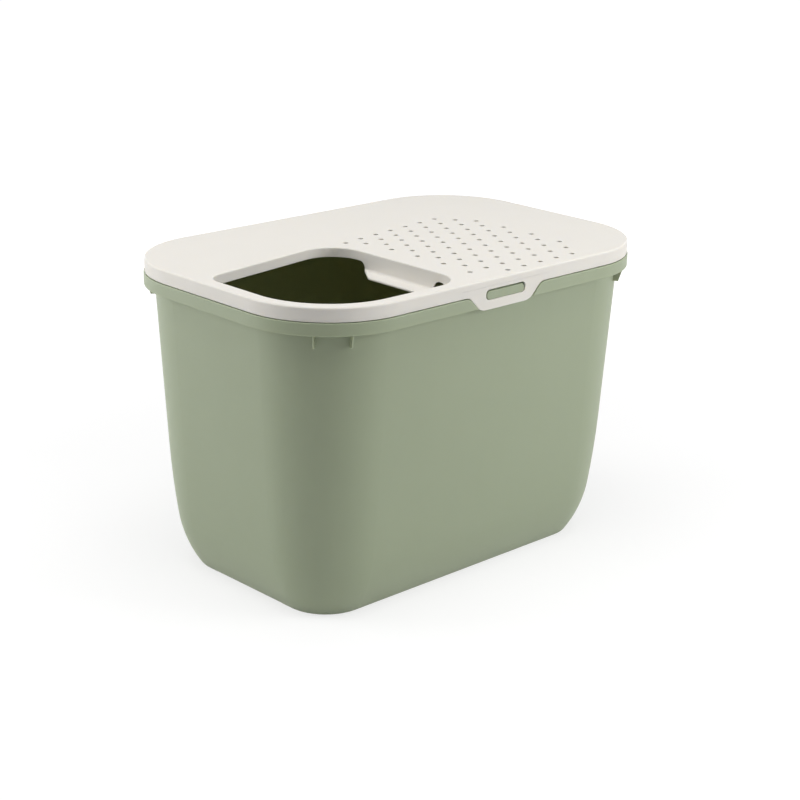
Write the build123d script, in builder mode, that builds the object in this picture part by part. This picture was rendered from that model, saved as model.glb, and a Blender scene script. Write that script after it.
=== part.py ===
"""Top entry litter box: a deep tub, a lid with an entry opening and a sifting field, and two latch tabs.

The frame's origin is on the ground under the middle of the tub. X runs along the long side, Y runs
from the front to the back and Z is up. The entry opening is towards -X and -Y.
"""
from build123d import *

import math
import os

os.makedirs("parts", exist_ok=True)

# ---- Overall sizes, in millimetres -------------------------------------------------------------
length = 585.0  # over the tub's rim band, along X
width = 390.0  # over the tub's rim band, along Y
height = 395.0  # ground to the lid's top face
rim_corner_radius = 116.5  # the rim band's corners in plan

# ---- Tub ---------------------------------------------------------------------------------------
tub_wall = 2.6
wall_inset = 13.0  # from the rim band's face in to the wall, at the band's lower edge
wall_draft = 3.6  # degrees off vertical, from the rim down to the belly
belly_radius = 1100.0  # the long gentle curve low on the wall
belly_angle = 8.3  # degrees off vertical where the belly ends
turn_radius = 155.0  # the tighter curve towards the base
turn_angle = 34.5  # degrees off vertical where that curve ends
base_edge_radius = 6.5  # the last small round down to the ground
floor_lap = 12.0  # how far the wall's section runs in with the floor plate
foot_lift = 2.4  # height of the shallow channel under the floor
channel_width = 130.0  # the channel's width between the two long feet
channel_end_gap = 0.5  # the raised plate stops this far inside the wall's last curve

band_height = 15.2  # the band turned down around the rim
band_wall = 2.4
band_edge_radius = 0.8
flange_thickness = 2.4
locating_lip_wall = 2.2  # the upright lip that carries the lid and keeps it in place
lip_to_skirt_gap = 1.9

gusset_thickness = 1.8
gusset_drop = 16.0  # how far a gusset reaches below the band
gusset_foot_reach = 6.6  # how far its blunt foot stands out from the wall
gusset_root = 1.2  # how deep a gusset is rooted in the wall
gusset_angles = (40.7, 63.3)  # degrees from the X axis, about each corner's centre

# ---- Lid ---------------------------------------------------------------------------------------
lid_inset = 1.1  # the lid's skirt stands this much inside the rim band's face
lid_top_thickness = 2.4
skirt_wall = 2.2
skirt_height = 17.0
lid_edge_radius = 2.3
lid_foot_radius = 0.6  # the skirt's lower outer edge, which the latch tabs' edges follow
lid_seat_gap = 0.3  # between the lid's plate and the locating lip's top
skirt_gap = 0.8  # between the skirt's lower edge and the tub's flange

# Entry opening: a recess with a collar all round, and a ledge at its +X end.
rim_land = 16.9  # flat land between the lid's edge and the opening
entry_right_x = -53.0
entry_back_y_right = 53.0  # the back edge at its +X end, before rounding
entry_back_y_left = 19.5  # the back edge at its -X end, before rounding
entry_front_right_radius = 38.0
entry_back_right_radius = 42.0
entry_back_left_radius = 26.0
entry_draft = 6.0
entry_edge_radius = 1.6
collar_wall = 2.2
collar_depth = 11.7

ledge_depth = 21.7
ledge_reach = 24.0  # from the opening's +X edge to the ledge's free edge
ledge_start_y = -10.0  # where the ledge begins along the side wall
ledge_splay = 30.0  # the ledge widens to its full reach over this length
ledge_corner_radius = 14.0
ledge_edge_radius = 1.0
ledge_root_radius = 3.0
collar_step_radius = 9.8  # hollow curve where the collar deepens to the ledge

# Arched hole at the foot of the side wall, where a scoop's handle hangs.
scoop_hole_width = 21.0
scoop_hole_height = 11.0
scoop_hole_corner_radius = 9.0
scoop_hole_y = -139.0

# Sifting field: staggered rows of round holes, counted from the back row. The rows fan out from the
# slant of the opening's back edge, and the whole field bows a little in its middle.
sift_hole_diameter = 7.0
sift_pitch = 29.6
sift_row_pitch = 23.3
sift_back_row_y = 57.8
sift_middle_x = 63.6
sift_back_slant = 7.5  # degrees that the back row runs off the X axis
sift_front_slant = 2.3
sift_bow_x = 7.7  # how far the middle row lies off even rows, along each axis
sift_bow_y = 4.6
sift_row_radius = 2400.0  # each row is bent this gently, its ends towards the front
# For each row: its shift in half pitches from the middle, and its number of holes.
sift_rows = (
    (-1, 7),
    (0, 7),
    (1, 7),
    (0, 7),
    (1, 7),
    (0, 7),
    (1, 7),
    (0, 7),
    (1, 7),
    (0, 7),
    (1, 5),
)

# ---- Latch tabs, one in the middle of each long side -------------------------------------------
tab_top_half = 72.0  # half length of the part that runs along the skirt
tab_shoulder = 11.5  # from each end of that part in to where the tongue leaves the skirt
tab_flank_run = 19.0  # how far each slanting flank of the tongue runs in, down to its foot
tab_drop = 19.6  # how far the tab hangs below the skirt
tab_neck_radius = 15.0
tab_foot_radius = 21.0
tab_hinge_rise = 8.5  # the living hinge is this far above the skirt's lower edge
tab_seam = 0.12
slot_length = 66.0
slot_height = 12.7
slot_corner_radius = 5.4
slot_below_skirt_edge = 1.8  # the slot's middle, below the skirt's lower edge

# The rim's pocket behind each tab, and the catch that fills the tab's slot.
pocket_gap = 1.0
pocket_clearance = 0.5
pocket_wall = 2.4
pocket_shoulder = 3.2
catch_end_clearance = 2.0
catch_top_clearance = 2.0
catch_foot_clearance = 0.3  # small, because the slot's lower edge bears on the catch
catch_corner_radius = 4.2
catch_set_back = 0.3
catch_edge_bevel = 0.5

# ---- Heights and insets worked out from the sizes above ----------------------------------------
skirt_bottom_z = height - skirt_height
flange_top_z = skirt_bottom_z - skirt_gap
locating_lip_top_z = height - lid_top_thickness - lid_seat_gap
flange_bottom_z = flange_top_z - flange_thickness
band_bottom_z = flange_top_z - band_height
hinge_z = skirt_bottom_z + tab_hinge_rise
slot_z = skirt_bottom_z - slot_below_skirt_edge
tab_inner_inset = lid_inset + skirt_wall
pocket_floor_inset = tab_inner_inset + pocket_clearance
locating_lip_inset = tab_inner_inset + lip_to_skirt_gap
corner_x = length / 2 - rim_corner_radius
corner_y = width / 2 - rim_corner_radius


def tangent(angle):
    return math.tan(math.radians(angle))


def arc_drop(radius, start_angle, end_angle):
    """Height that an arc covers between two angles off vertical."""
    return radius * (math.sin(math.radians(end_angle)) - math.sin(math.radians(start_angle)))


def arc_run(radius, start_angle, end_angle):
    """How far an arc moves in between two angles off vertical."""
    return radius * (math.cos(math.radians(start_angle)) - math.cos(math.radians(end_angle)))


# The wall's outer line as (inset from the rim's face, height), from the flange down to the ground.
turn_end_z = arc_drop(base_edge_radius, turn_angle, 90)
turn_start_z = turn_end_z + arc_drop(turn_radius, belly_angle, turn_angle)
belly_start_z = turn_start_z + arc_drop(belly_radius, wall_draft, belly_angle)
belly_start_inset = wall_inset + (band_bottom_z - belly_start_z) * tangent(wall_draft)
turn_start_inset = belly_start_inset + arc_run(belly_radius, wall_draft, belly_angle)
turn_end_inset = turn_start_inset + arc_run(turn_radius, belly_angle, turn_angle)
base_inset = turn_end_inset + arc_run(base_edge_radius, turn_angle, 90)
wall_top_inset = wall_inset - (flange_top_z - band_bottom_z) * tangent(wall_draft)


def rim_point(inset, z, angle=0.0, depth=0.0):
    """A point of the front wall's section in the YZ plane, moved into the wall by depth."""
    side_shift = depth * math.cos(math.radians(angle))
    rise = depth * math.sin(math.radians(angle))
    return (inset + side_shift - width / 2, z + rise)


def rim_outline(inset, mode=Mode.ADD):
    """The rim's rounded rectangle, moved in by an inset. It is drawn in the open sketch."""
    RectangleRounded(
        length - 2 * inset, width - 2 * inset, rim_corner_radius - inset, mode=mode
    )


def side_plane(side, inset):
    """An upright plane on the front (-1) or the back (1) side, facing outwards, with its Y up."""
    return Plane(
        origin=(0, side * (width / 2 - inset), 0),
        x_dir=(-side, 0, 0),
        z_dir=(0, side, 0),
    )


def rounded_outline(corners):
    """The points and the radii of a closed outline, from (point, radius) pairs."""
    return [point for point, radius in corners], [radius for point, radius in corners]


# ---- Outlines that more than one piece or cut follows ------------------------------------------
# The entry opening's edge in the lid's top face.
entry_left_x = lid_inset + rim_land - length / 2
entry_front_y = lid_inset + rim_land - width / 2
entry_points, entry_radii = rounded_outline(
    (
        ((entry_left_x, entry_front_y), rim_corner_radius - lid_inset - rim_land),
        ((entry_right_x, entry_front_y), entry_front_right_radius),
        ((entry_right_x, entry_back_y_right), entry_back_right_radius),
        ((entry_left_x, entry_back_y_left), entry_back_left_radius),
    )
)
with BuildSketch() as entry_outline:
    with BuildLine():
        FilletPolyline(*entry_points, radius=entry_radii, close=True)
    make_face()

# The latch tab's face, with its Y as the height: a strip along the skirt and a tapered tongue.
tab_foot_z = skirt_bottom_z - tab_drop
tab_neck_half = tab_top_half - tab_shoulder
tab_foot_half = tab_neck_half - tab_flank_run
tab_points, tab_radii = rounded_outline(
    (
        ((-tab_top_half, hinge_z), 0),
        ((-tab_top_half, skirt_bottom_z), 0),
        ((-tab_neck_half, skirt_bottom_z), tab_neck_radius),
        ((-tab_foot_half, tab_foot_z), tab_foot_radius),
        ((tab_foot_half, tab_foot_z), tab_foot_radius),
        ((tab_neck_half, skirt_bottom_z), tab_neck_radius),
        ((tab_top_half, skirt_bottom_z), 0),
        ((tab_top_half, hinge_z), 0),
    )
)
with BuildSketch() as tab_outline:
    with BuildLine():
        FilletPolyline(*tab_points, radius=tab_radii, close=True)
    make_face()


# ================================================================================================
# Tub: one moulding with its rim band, gussets, latch pockets and catches.
# ================================================================================================
with BuildPart() as rim_band:
    with BuildSketch(Plane.XY.offset(band_bottom_z)):
        rim_outline(0)
    extrude(amount=band_height)
    fillet(rim_band.edges().filter_by(Plane.XY), band_edge_radius)
    with BuildSketch(Plane.XY.offset(band_bottom_z)):
        rim_outline(band_wall)
    extrude(amount=band_height, mode=Mode.SUBTRACT)

with BuildLine() as quarter_rim:
    FilletPolyline(
        (0, -width / 2),
        (length / 2, -width / 2),
        (length / 2, 0),
        radius=rim_corner_radius,
    )

with BuildPart() as tub:
    # A quarter of the wall: its section is swept from the front's middle to the side's middle.
    with BuildSketch(Plane.YZ) as wall_section:
        with BuildLine():
            upper_out = Line(
                rim_point(wall_top_inset, flange_top_z),
                rim_point(belly_start_inset, belly_start_z),
            )
            belly_out = TangentArc(
                upper_out @ 1,
                rim_point(turn_start_inset, turn_start_z),
                tangent=upper_out % 1,
            )
            turn_out = TangentArc(
                belly_out @ 1,
                rim_point(turn_end_inset, turn_end_z),
                tangent=belly_out % 1,
            )
            edge_out = TangentArc(
                turn_out @ 1,
                rim_point(base_inset, 0),
                tangent=turn_out % 1,
            )
            under = Line(edge_out @ 1, rim_point(base_inset + floor_lap, 0))
            lap_end = Line(under @ 1, rim_point(base_inset + floor_lap, tub_wall))
            inside = Line(lap_end @ 1, rim_point(base_inset, tub_wall))
            turn_in = TangentArc(
                inside @ 1,
                rim_point(turn_end_inset, turn_end_z, turn_angle, tub_wall),
                tangent=inside % 1,
            )
            belly_low_in = TangentArc(
                turn_in @ 1,
                rim_point(turn_start_inset, turn_start_z, belly_angle, tub_wall),
                tangent=turn_in % 1,
            )
            belly_in = TangentArc(
                belly_low_in @ 1,
                rim_point(belly_start_inset, belly_start_z, wall_draft, tub_wall),
                tangent=belly_low_in % 1,
            )
            wall_run = tub_wall / math.cos(math.radians(wall_draft))
            upper_in = Line(belly_in @ 1, rim_point(wall_top_inset + wall_run, flange_top_z))
            Line(upper_in @ 1, upper_out @ 0)
        make_face()
    sweep(path=quarter_rim.wires()[0])
    mirror(about=Plane.YZ)
    mirror(about=Plane.XZ)

    # The floor plate, raised in a shallow channel between two long feet.
    with BuildSketch(Plane.XY):
        rim_outline(base_inset)
    extrude(amount=tub_wall)
    raised_length = length - 2 * (turn_end_inset + channel_end_gap)
    with BuildSketch(Plane.XY.offset(foot_lift)):
        Rectangle(raised_length, channel_width + 2 * tub_wall)
    extrude(amount=tub_wall)
    with BuildSketch(Plane.YZ):
        with BuildLine():
            Polyline(
                (-channel_width / 2 - foot_lift, -foot_lift),
                (-channel_width / 2 + foot_lift, foot_lift),
                (channel_width / 2 - foot_lift, foot_lift),
                (channel_width / 2 + foot_lift, -foot_lift),
                close=True,
            )
        make_face()
    extrude(amount=length, both=True, mode=Mode.SUBTRACT)

    # The band around the rim, the flange that joins it to the wall, and the lid's locating lip.
    add(rim_band.part)
    with BuildSketch(Plane.XY.offset(flange_bottom_z)):
        rim_outline(band_wall / 2)
        rim_outline(wall_top_inset + tub_wall / 2, mode=Mode.SUBTRACT)
    extrude(amount=flange_thickness)
    with BuildSketch(Plane.XY.offset(flange_bottom_z)):
        rim_outline(locating_lip_inset)
        rim_outline(locating_lip_inset + locating_lip_wall, mode=Mode.SUBTRACT)
    extrude(amount=locating_lip_top_z - flange_bottom_z)

    # Two gussets under the band at each corner.
    gusset_outer = rim_corner_radius - band_wall / 2
    gusset_inner = rim_corner_radius - wall_inset - gusset_root
    gusset_foot = gusset_inner - gusset_drop * tangent(wall_draft)
    gusset_foot_z = band_bottom_z - gusset_drop
    gusset_top_z = flange_bottom_z + flange_thickness / 2
    for x_side in (-1, 1):
        for y_side in (-1, 1):
            for angle in gusset_angles:
                radial = (
                    x_side * math.cos(math.radians(angle)),
                    y_side * math.sin(math.radians(angle)),
                    0,
                )
                gusset_plane = Plane(
                    origin=(x_side * corner_x, y_side * corner_y, 0),
                    x_dir=radial,
                    z_dir=(radial[1], -radial[0], 0),
                )
                with BuildSketch(gusset_plane):
                    with BuildLine():
                        Polyline(
                            (gusset_inner, gusset_top_z),
                            (gusset_outer, gusset_top_z),
                            (rim_corner_radius - band_wall, band_bottom_z),
                            (gusset_foot + gusset_root + gusset_foot_reach, gusset_foot_z),
                            (gusset_foot, gusset_foot_z),
                            (gusset_inner, band_bottom_z),
                            close=True,
                        )
                    make_face()
                extrude(amount=gusset_thickness / 2, both=True)

    # On each long side: the band steps in behind the tab, and a catch stands in the tab's slot.
    pocket_half = tab_top_half + pocket_gap + pocket_shoulder
    backing_inset = pocket_floor_inset + pocket_wall
    catch_inset = lid_inset + catch_set_back
    for side in (-1, 1):
        with BuildSketch(Plane.XY.offset(band_bottom_z)):
            with Locations((0, side * (width - band_wall / 2 - backing_inset) / 2)):
                Rectangle(2 * pocket_half, backing_inset - band_wall / 2)
        extrude(amount=band_height)
        with BuildSketch(side_plane(side, pocket_floor_inset)):
            add(tab_outline.sketch)
            offset(amount=pocket_gap, kind=Kind.INTERSECTION)
        extrude(amount=2 * pocket_floor_inset, mode=Mode.SUBTRACT)
        with BuildSketch(side_plane(side, locating_lip_inset + locating_lip_wall)):
            with Locations((0, slot_z + (catch_foot_clearance - catch_top_clearance) / 2)):
                RectangleRounded(
                    slot_length - 2 * catch_end_clearance,
                    slot_height - catch_foot_clearance - catch_top_clearance,
                    catch_corner_radius,
                )
        extrude(amount=locating_lip_inset + locating_lip_wall - catch_inset)
        catch_face = tub.faces(Select.LAST).sort_by(Axis.Y)[0 if side < 0 else -1]
        chamfer(catch_face.edges(), catch_edge_bevel)
tub.part.label = "tub"
export_step(tub.part, "parts/tub.step")


# ================================================================================================
# Lid: one moulding with its skirt, entry collar, ledge and sifting field.
# ================================================================================================
# The deep part of the entry's side wall, with the ledge as its floor.
ledge_z = height - ledge_depth
collar_z = height - collar_depth
with BuildPart() as ledge_pan:
    with BuildSketch(Plane.XY.offset(height)):
        add(entry_outline.sketch)
        offset(amount=collar_wall)
    extrude(amount=-ledge_depth - collar_wall, taper=entry_draft)
    # In plan, the pan lies beyond the ledge's free edge.
    free_edge_x = entry_right_x - ledge_reach
    wall_x = entry_right_x - collar_wall
    outside_x = entry_right_x + 2 * collar_wall
    ledge_points, ledge_radii = rounded_outline(
        (
            ((free_edge_x, -width / 2), 0),
            ((free_edge_x, ledge_start_y - ledge_splay), ledge_corner_radius),
            ((wall_x, ledge_start_y), 0),
            ((wall_x, entry_back_y_right), 0),
            ((outside_x, entry_back_y_right), 0),
            ((outside_x, -width / 2), 0),
        )
    )
    with BuildSketch(Plane.XY.offset(height)):
        with BuildLine():
            FilletPolyline(*ledge_points, radius=ledge_radii, close=True)
        make_face()
    extrude(amount=-2 * ledge_depth, mode=Mode.INTERSECT)
    # Seen from the side, the collar deepens to the ledge in a hollow curve.
    with BuildSketch(Plane.YZ.offset(free_edge_x)):
        low_z = ledge_z - 2 * collar_wall
        step_y = ledge_start_y
        with BuildLine():
            Polyline(
                (step_y, collar_z - collar_step_radius),
                (step_y, low_z),
                (-width / 2, low_z),
                (-width / 2, height),
                (entry_back_y_right, height),
                (entry_back_y_right, collar_z),
                (step_y + collar_step_radius, collar_z),
            )
            RadiusArc(
                (step_y + collar_step_radius, collar_z),
                (step_y, collar_z - collar_step_radius),
                -collar_step_radius,
            )
        make_face()
    extrude(amount=2 * ledge_reach, mode=Mode.INTERSECT)

with BuildPart() as lid:
    # The shell: a shallow cap with a rounded top edge.
    with BuildSketch(Plane.XY.offset(skirt_bottom_z)):
        rim_outline(lid_inset)
    extrude(amount=skirt_height)
    fillet(lid.faces().sort_by(Axis.Z)[-1].edges(), lid_edge_radius)
    fillet(lid.faces().sort_by(Axis.Z)[0].edges(), lid_foot_radius)
    with BuildSketch(Plane.XY.offset(skirt_bottom_z)):
        rim_outline(lid_inset + skirt_wall)
    extrude(amount=skirt_height - lid_top_thickness, mode=Mode.SUBTRACT)

    # The entry: a collar all round, the ledge's pan, then the drafted hole through both.
    with BuildSketch(Plane.XY.offset(height)):
        add(entry_outline.sketch)
        offset(amount=collar_wall)
    extrude(amount=-collar_depth, taper=entry_draft)
    add(ledge_pan.part)
    with BuildSketch(Plane.XY.offset(height)):
        add(entry_outline.sketch)
    extrude(amount=-ledge_depth, taper=entry_draft, mode=Mode.SUBTRACT)
    entry_rim = [
        edge
        for edge in lid.edges(Select.LAST).group_by(Axis.Z)[-1]
        if edge.bounding_box().size.Z < 1e-3
    ]
    fillet(entry_rim, entry_edge_radius)
    # A hollow curve joins the ledge to the wall, and then the ledge's free edge is rounded.
    for place, radius in ((-1, ledge_root_radius), (0, ledge_edge_radius)):
        level = lid.edges().filter_by_position(Axis.Z, ledge_z - 0.001, ledge_z + 0.001)
        fillet(level.filter_by(Axis.Y).sort_by(Axis.X)[place], radius)

    # The arched hole for a scoop's handle, just above the ledge.
    with BuildSketch(Plane.YZ.offset(entry_right_x - ledge_reach / 2)):
        with Locations((scoop_hole_y, ledge_z)):
            Rectangle(scoop_hole_width, scoop_hole_height, align=(Align.CENTER, Align.MIN))
        fillet(vertices().group_by(Axis.Y)[-1], scoop_hole_corner_radius)
    extrude(amount=ledge_reach, mode=Mode.SUBTRACT)

    # The sifting field.
    with BuildSketch(Plane.XY.offset(height)):
        for row, (half_shifts, count) in enumerate(sift_rows):
            down = row / (len(sift_rows) - 1)
            bow = 4 * down * (1 - down)
            slant = sift_back_slant + (sift_front_slant - sift_back_slant) * down
            row_y = sift_back_row_y - row * sift_row_pitch + bow * sift_bow_y
            for hole in range(count):
                step = half_shifts / 2 + hole - (count - 1) / 2
                hole_x = sift_middle_x + bow * sift_bow_x + step * sift_pitch
                aside = hole_x - sift_middle_x
                hole_y = row_y + aside * tangent(slant) - aside**2 / (2 * sift_row_radius)
                with Locations((hole_x, hole_y)):
                    Circle(sift_hole_diameter / 2)
    extrude(amount=-2 * lid_top_thickness, mode=Mode.SUBTRACT)

    # Room for the two latch tabs in the skirt.
    for side in (-1, 1):
        with BuildSketch(side_plane(side, lid_inset + 1.5 * skirt_wall)):
            with Locations((0, skirt_bottom_z)):
                Rectangle(2 * (tab_top_half + tab_seam), 2 * (tab_hinge_rise + tab_seam))
        extrude(amount=2 * skirt_wall, mode=Mode.SUBTRACT)
lid.part.label = "lid"
export_step(lid.part, "parts/lid.step")


# ================================================================================================
# Latch tabs: each flexes on a living hinge along the skirt and snaps over the tub's catch.
# ================================================================================================
for tab_name, side in (("front_latch_tab", -1), ("rear_latch_tab", 1)):
    with BuildPart() as latch_tab:
        with BuildSketch(side_plane(side, tab_inner_inset)):
            add(tab_outline.sketch)
            with Locations((0, slot_z)):
                RectangleRounded(
                    slot_length, slot_height, slot_corner_radius, mode=Mode.SUBTRACT
                )
        extrude(amount=skirt_wall)
        # The outer edges are softened, except where the tab meets the skirt.
        face = latch_tab.faces().sort_by(Axis.Y)[0 if side < 0 else -1]
        soft_edges = [
            edge
            for edge in face.edges()
            if abs(edge.center().X) < tab_top_half - tab_seam
            and edge.center().Z < hinge_z - tab_seam
        ]
        fillet(soft_edges, lid_foot_radius)
    latch_tab.part.label = tab_name
    export_step(latch_tab.part, f"parts/{tab_name}.step")
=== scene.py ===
# %% [markdown]
# # A top entry litter box
#
# The real object is two large plastic mouldings: a deep sage green tub and an off-white lid with an
# entry opening and a field of small round holes. Two slotted tongues in the lid's skirt clip over
# catches on the tub. The CAD model already holds every shape at full size, in metres, so this lesson
# loads it as a fixed frame and works on what a camera sees: finish, light and view.

import math

import bpy
import numpy as np
from mathutils import Matrix, Vector

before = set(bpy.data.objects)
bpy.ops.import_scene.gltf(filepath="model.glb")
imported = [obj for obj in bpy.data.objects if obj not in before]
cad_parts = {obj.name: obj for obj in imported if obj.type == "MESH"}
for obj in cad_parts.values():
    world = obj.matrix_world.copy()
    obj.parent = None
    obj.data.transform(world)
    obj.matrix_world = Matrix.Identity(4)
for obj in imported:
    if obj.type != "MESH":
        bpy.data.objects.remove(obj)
scene = bpy.context.scene


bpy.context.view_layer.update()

# %% [markdown]
# ## The camera
#
# A camera is a place, two angles and a lens. Here it stands in front of one rounded corner and
# looks a little down, through a long lens, which keeps the box's upright lines nearly parallel.
# The three directions of the camera (right, up and back) are worked out from its angles and put
# straight into its matrix, so nothing has to be aimed by hand.

# %% Camera
camera_azimuth = math.radians(-43.785)
camera_elevation = math.radians(18.587)
camera_roll = math.radians(1.06)
camera_place = Vector((-1.525592, -1.610182, 0.938340))

back = Vector(
    (
        math.sin(camera_azimuth) * math.cos(camera_elevation),
        -math.cos(camera_azimuth) * math.cos(camera_elevation),
        math.sin(camera_elevation),
    )
)
level_right = Vector((math.cos(camera_azimuth), math.sin(camera_azimuth), 0))
level_up = back.cross(level_right)
right = math.cos(camera_roll) * level_right + math.sin(camera_roll) * level_up
up = math.cos(camera_roll) * level_up - math.sin(camera_roll) * level_right

lens = bpy.data.cameras.new("camera")
lens.sensor_width = 36
lens.lens = 82.942
lens.clip_end = 60  # metres, past the far edge of the floor
camera = bpy.data.objects.new("camera", lens)
camera.matrix_world = Matrix((right, up, back)).transposed().to_4x4()
camera.location = camera_place
scene.collection.objects.link(camera)
scene.camera = camera
print("camera at", [round(v, 3) for v in camera_place], "lens", lens.lens, "mm")

# %% [markdown]
# ## Writing shader maths as sums
#
# A procedural finish is arithmetic on patterns. Wiring a Math node for each sum hides the idea, so
# a small class wraps a socket and overloads + - and *: an expression then adds its own Math nodes.
# Recipe.node adds any other node from its type, its settings and its inputs.

# %% Shader helpers
class Value:
    """A shader socket that can stand in a sum, such as 1 - mask * 0.5."""

    def __init__(self, recipe, socket):
        self.recipe = recipe
        self.socket = socket

    def _sum(self, operation, first, second):
        return self.recipe.node(
            "ShaderNodeMath", {"operation": operation}, {0: first, 1: second}
        )

    def __add__(self, other):
        return self._sum("ADD", self, other)

    def __radd__(self, other):
        return self._sum("ADD", other, self)

    def __sub__(self, other):
        return self._sum("SUBTRACT", self, other)

    def __rsub__(self, other):
        return self._sum("SUBTRACT", other, self)

    def __mul__(self, other):
        return self._sum("MULTIPLY", self, other)

    def __rmul__(self, other):
        return self._sum("MULTIPLY", other, self)


class Recipe:
    """The nodes of a new material, or of a world that is handed in."""

    def __init__(self, name, world=None):
        self.material = world or bpy.data.materials.new(name)
        self.material.use_nodes = True
        self.tree = self.material.node_tree
        self.tree.nodes.clear()

    def node(self, kind, settings=None, inputs=None, output=0):
        """Adds a node, gives it its settings, then its inputs, and returns one output if it has any."""
        made = self.tree.nodes.new(kind)
        for name, setting in (settings or {}).items():
            setattr(made, name, setting)
        for name, value in (inputs or {}).items():
            if isinstance(value, Value):
                self.tree.links.new(value.socket, made.inputs[name])
            else:
                made.inputs[name].default_value = value
        return Value(self, made.outputs[output]) if made.outputs else None

    def place(self):
        """A point of the piece, in metres."""
        return self.node("ShaderNodeTexCoord", output="Object")

    def stretched(self, scale):
        """The piece's own coordinates, scaled along each axis."""
        return self.node(
            "ShaderNodeMapping", {"vector_type": "POINT"}, {"Vector": self.place(), "Scale": scale}
        )

    def noise(self, cells, detail, stretch=(1, 1, 1)):
        """Soft noise from 0 to 1, with about this many cells to a metre."""
        return self.node(
            "ShaderNodeTexNoise",
            None,
            {"Vector": self.stretched(stretch), "Scale": cells, "Detail": detail},
        )


def srgb(red, green, blue):
    """A colour given as 0 to 255 screen values, as the linear colour that shaders use."""
    screen = np.array((red, green, blue)) / 255
    linear = np.where(screen <= 0.04045, screen / 12.92, ((screen + 0.055) / 1.055) ** 2.4)
    return (*linear.tolist(), 1.0)


print("shader helpers ready")

# %% [markdown]
# ## Moulded plastic
#
# Both mouldings are satin polypropylene. Four things keep such a surface from looking like flat
# paint. The mould leaves a fine grain, which breaks up a reflection. The wall cools a little
# unevenly, which bends it. The pigment is slightly cloudy. Each of these is a noise at its own size.
# Last, light soaks a few millimetres into the plastic before it comes back, which softens the shade
# on the rounded corners. The shader's subsurface light does that.

# %% Moulded plastic finish
satin_roughness = 0.55
plastic_ior = 1.49
coat_roughness = 0.45
soak_share = 0.35  # how much of the light soaks in before it comes back
soak_by_colour = (1.0, 0.9, 0.7)  # red light soaks in furthest, blue least


def moulded_plastic(name, pale, deep, gloss, grain_depth, wave_depth, murk_depth):
    """Satin plastic: pigment clouds between two colours, a fine grain and a slow wave in the wall.

    The depths are in metres, and murk_depth is how far light soaks in.
    """
    recipe = Recipe(name)
    clouds = recipe.noise(cells=7, detail=3)
    flow = recipe.noise(cells=26, detail=2, stretch=(1, 1, 0.25))
    speck = recipe.noise(cells=900, detail=1)
    mix = clouds * 0.55 + flow * 0.3 + speck * 0.15  # shares that add up to 1
    colour = recipe.node(
        "ShaderNodeMix",
        {"data_type": "RGBA"},
        {"Factor": mix, "A": deep, "B": pale},
        output=2,
    )
    wave = recipe.noise(cells=9, detail=1)
    grain = recipe.noise(cells=1400, detail=2)
    slow = recipe.node(
        "ShaderNodeBump", None, {"Strength": 1.0, "Distance": wave_depth, "Height": wave}
    )
    bump = recipe.node(
        "ShaderNodeBump",
        None,
        {"Strength": 1.0, "Distance": grain_depth, "Height": grain, "Normal": slow},
    )
    shader = recipe.node(
        "ShaderNodeBsdfPrincipled",
        None,
        {
            "Base Color": colour,
            "Roughness": satin_roughness + (clouds - 0.5) * 0.08 + (speck - 0.5) * 0.06,
            "IOR": plastic_ior,
            "Coat Weight": gloss,
            "Coat Roughness": coat_roughness,
            "Subsurface Weight": soak_share,
            "Subsurface Radius": soak_by_colour,
            "Subsurface Scale": murk_depth,
            "Normal": bump,
        },
    )
    recipe.node("ShaderNodeOutputMaterial", None, {"Surface": shader})
    return recipe.material


tub_plastic = moulded_plastic(
    "tub_plastic",
    pale=srgb(158, 168, 141),
    deep=srgb(151, 161, 134),
    gloss=0.2,
    grain_depth=0.00004,
    wave_depth=0.0006,
    murk_depth=0.008,
)
lid_plastic = moulded_plastic(
    "lid_plastic",
    pale=srgb(230, 226, 219),
    deep=srgb(225, 221, 213),
    gloss=0.0,
    grain_depth=0.00003,
    wave_depth=0.0005,
    murk_depth=0.004,
)
print("finishes", tub_plastic.name, lid_plastic.name)

# %% [markdown]
# ## Which piece gets which plastic
#
# The tub is the green moulding. On the real lid the two latch tabs are moulded with the skirt, so all
# three share one off-white plastic. The frame's own meshes take the materials directly. Their shapes
# and places belong to the CAD model and stay as they are.

# %% Put the finishes on the frame
finishes = {
    "tub": tub_plastic,
    "lid": lid_plastic,
    "front_latch_tab": lid_plastic,
    "rear_latch_tab": lid_plastic,
}
for node_name, finish in finishes.items():
    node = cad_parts[node_name]
    node.data.materials.clear()
    node.data.materials.append(finish)
    print(node_name, len(node.data.polygons), "faces")

# %% [markdown]
# ## Floor
#
# The floor is a plain white sheet that throws light back up at the box. What the camera and the
# reflections see of it is another thing: mostly a light of its own, which reaches white where no
# shadow falls and leaves a pale, soft shadow, and full white further out, past the lamps' reach.

# %% Floor
def either(recipe, first, second):
    """The larger of two values."""
    return recipe.node("ShaderNodeMath", {"operation": "MAXIMUM"}, {0: first, 1: second})


def seen(recipe):
    """1 where the camera looks, straight, in a reflection or through glass, and 0 elsewhere."""
    straight = recipe.node("ShaderNodeLightPath", output="Is Camera Ray")
    reflected = recipe.node("ShaderNodeLightPath", output="Is Glossy Ray")
    through = recipe.node("ShaderNodeLightPath", output="Is Transmission Ray")
    return either(recipe, straight, either(recipe, reflected, through))


floor_reach = 30.0
floor_white = 0.85  # how much light the floor throws back at the box
shadow_share = 0.35  # how much of its lamplight, and so of its shadow, is seen
floor_glow = 0.72  # the light of its own that is seen close to the box
lamplit_radius = 0.5  # out to here the floor's own light stays at that level
white_radius = 1.7  # from here on it is full white

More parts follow.
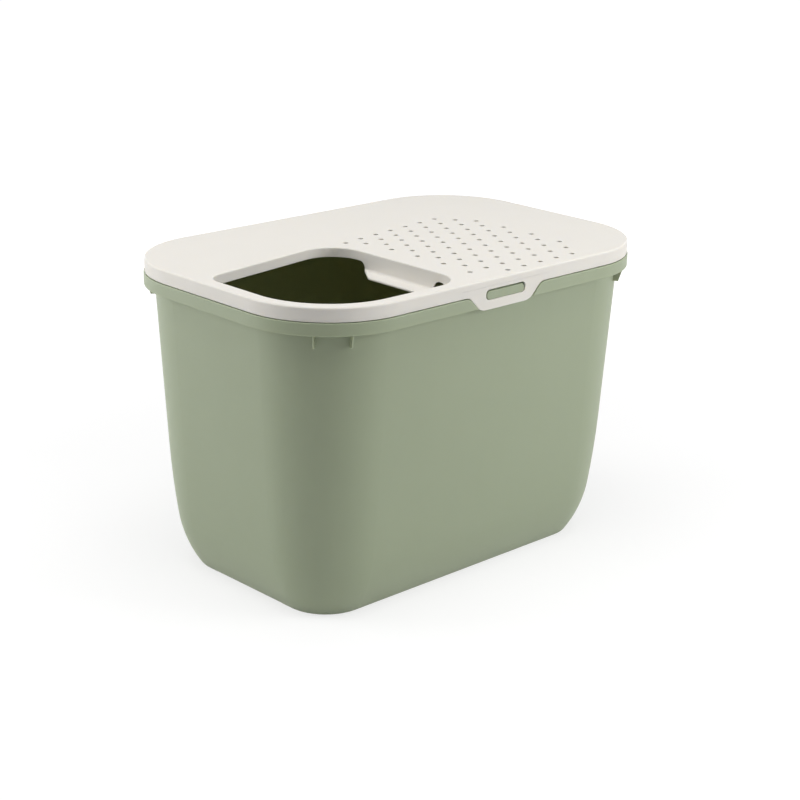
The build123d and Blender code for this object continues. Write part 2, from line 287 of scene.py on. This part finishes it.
floor_mesh = bpy.data.meshes.new("floor")
floor_mesh.from_pydata(
    [
        (-floor_reach, -floor_reach, 0),
        (floor_reach, -floor_reach, 0),
        (floor_reach, floor_reach, 0),
        (-floor_reach, floor_reach, 0),
    ],
    [],
    [(0, 1, 2, 3)],
)
floor = bpy.data.objects.new("floor", floor_mesh)
scene.collection.objects.link(floor)

floor_recipe = Recipe("floor_white")
from_middle = floor_recipe.node(
    "ShaderNodeVectorMath", {"operation": "LENGTH"}, {0: floor_recipe.place()}, output="Value"
)
glow = floor_recipe.node(
    "ShaderNodeMapRange",
    {"interpolation_type": "SMOOTHSTEP"},
    {
        "Value": from_middle,
        "From Min": lamplit_radius,
        "From Max": white_radius,
        "To Min": floor_glow,
        "To Max": 1.0,
    },
)
whiteness = floor_white * (1 - seen(floor_recipe) * (1 - shadow_share))
paper = floor_recipe.node("ShaderNodeBsdfDiffuse", None, {"Color": whiteness})
own_light = floor_recipe.node("ShaderNodeEmission", None, {"Color": glow * seen(floor_recipe)})
floor_shader = floor_recipe.node("ShaderNodeAddShader", None, {0: paper, 1: own_light})
floor_recipe.node("ShaderNodeOutputMaterial", None, {"Surface": floor_shader})
floor_mesh.materials.append(floor_recipe.material)
print("floor", 2 * floor_reach, "m wide")

# %% [markdown]
# ## Light
#
# The world is white where it is seen and dimmer where it lights. A wide soft box, almost overhead,
# lights the lid. Low ones stand off the flat sides, two for the short side and one for the long
# side, about where a glossy flat mirrors them to the camera. So each flat carries a broad sheen, and
# the rounded corner between them falls into shade.

# %% Light
world_light = 0.06

world = bpy.data.worlds.new("studio")
scene.world = world
world_recipe = Recipe("studio", world)
brightness = world_light + seen(world_recipe) * (1 - world_light)
backdrop = world_recipe.node("ShaderNodeBackground", None, {"Color": brightness})
world_recipe.node("ShaderNodeOutputWorld", None, {"Surface": backdrop})


box_middle = Vector((0, 0, 0.2))


def soft_box(name, azimuth, elevation, distance, size, radiance):
    """A lamp panel that faces the box's middle, as bright as a white surface times its radiance.

    A flat panel gives off pi times its radiance for each square metre, which makes its power.
    """
    turn = math.radians(azimuth)
    rise = math.radians(elevation)
    level = math.cos(rise)
    way = Vector((math.sin(turn) * level, -math.cos(turn) * level, math.sin(rise)))
    width, height = size
    light = bpy.data.lights.new(name, "AREA")
    light.shape = "RECTANGLE"
    light.size = width
    light.size_y = height
    light.energy = radiance * math.pi * width * height
    lamp = bpy.data.objects.new(name, light)
    lamp.location = way * distance + box_middle
    lamp.rotation_euler = way.to_track_quat("Z", "Y").to_euler()
    scene.collection.objects.link(lamp)
    print(name, round(light.energy, 1), "W")


soft_box("left_low_box", azimuth=-136, elevation=8, distance=1.9, size=(1.0, 0.7), radiance=3.8)
soft_box("left_box", azimuth=-130, elevation=25, distance=1.9, size=(1.0, 0.7), radiance=3.8)
soft_box("right_box", azimuth=35, elevation=20, distance=1.9, size=(1.0, 0.7), radiance=7.6)
soft_box("top_box", azimuth=-45, elevation=80, distance=3.0, size=(2.4, 2.4), radiance=4.1)
scene.view_settings.view_transform = "Standard"
